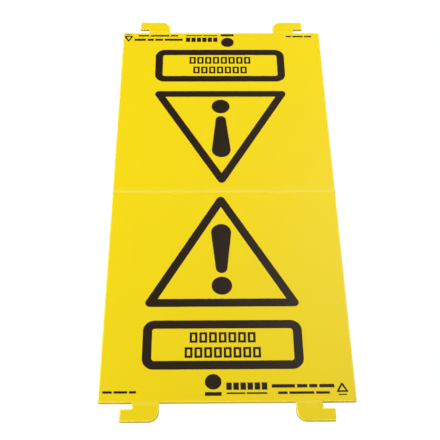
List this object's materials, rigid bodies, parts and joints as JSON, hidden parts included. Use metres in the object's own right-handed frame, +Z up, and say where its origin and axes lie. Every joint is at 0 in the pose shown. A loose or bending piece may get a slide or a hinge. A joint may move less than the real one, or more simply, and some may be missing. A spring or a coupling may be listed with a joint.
{
  "type": "folding warning sign",
  "caption": "Folding A-frame warning sign of creased plastic sheet, laid flat, with hooked tabs that catch in slots and a warning triangle printed on each panel.",
  "frame": {"origin": "under the middle of the ridge crease, on the surface that the opened sheet lies on", "axes": "+X along the ridge crease, +Y from the front panel to the back panel, +Z up out of the printed face"},
  "size_m": [0.3, 0.6456, 0.0038],
  "materials": {
    "yellow_sheet": "satin extruded polypropylene sheet, coloured through",
    "creased_sheet": "the same sheet, paler where the creasing rule has stretched it",
    "black_ink": "screen-printed ink, satin"
  },
  "bodies": {
    "front": {"front_panel": "yellow_sheet", "front_caption_frame": "black_ink", "front_caption_lower": "black_ink", "front_caption_upper": "black_ink", "front_contact_lines": "black_ink", "front_exclamation_bar": "black_ink", "front_exclamation_dot": "black_ink", "front_maker_emblem": "black_ink", "front_maker_lines": "black_ink", "front_material_line": "black_ink", "front_material_mark": "black_ink", "front_note_line": "black_ink", "front_warning_triangle": "black_ink", "ridge_crease": "creased_sheet", "front_left_tab_crease": "creased_sheet", "front_right_tab_crease": "creased_sheet"},
    "back": {"back_panel": "yellow_sheet", "back_caption_frame": "black_ink", "back_caption_lower": "black_ink", "back_caption_upper": "black_ink", "back_contact_lines": "black_ink", "back_exclamation_bar": "black_ink", "back_exclamation_dot": "black_ink", "back_maker_emblem": "black_ink", "back_maker_lines": "black_ink", "back_material_line": "black_ink", "back_material_mark": "black_ink", "back_note_line": "black_ink", "back_warning_triangle": "black_ink", "back_left_tab_crease": "creased_sheet", "back_right_tab_crease": "creased_sheet"},
    "front_left_tab": {"front_left_tab": "yellow_sheet"},
    "front_right_tab": {"front_right_tab": "yellow_sheet"},
    "back_left_tab": {"back_left_tab": "yellow_sheet"},
    "back_right_tab": {"back_right_tab": "yellow_sheet"}
  },
  "joints": [
    {"name": "ridge_fold", "type": "hinge", "parent": "front", "child": "back", "pos_m": [0, 0, 0.00305], "axis": [-1, 0, 0], "range_deg": [0, 130], "deforming": ["ridge_crease"]},
    {"name": "front_left_tab_fold", "type": "hinge", "parent": "front", "child": "front_left_tab", "pos_m": [-0.0949, -0.301, 0.0029], "axis": [1, 0, 0], "range_deg": [-90, 75], "deforming": ["front_left_tab_crease"]},
    {"name": "front_right_tab_fold", "type": "hinge", "parent": "front", "child": "front_right_tab", "pos_m": [0.0949, -0.301, 0.0029], "axis": [1, 0, 0], "range_deg": [-90, 75], "deforming": ["front_right_tab_crease"]},
    {"name": "back_left_tab_fold", "type": "hinge", "parent": "back", "child": "back_left_tab", "pos_m": [-0.0949, 0.301, 0.0029], "axis": [-1, 0, 0], "range_deg": [-90, 75], "deforming": ["back_left_tab_crease"]},
    {"name": "back_right_tab_fold", "type": "hinge", "parent": "back", "child": "back_right_tab", "pos_m": [0.0949, 0.301, 0.0029], "axis": [-1, 0, 0], "range_deg": [-90, 75], "deforming": ["back_right_tab_crease"]}
  ]
}
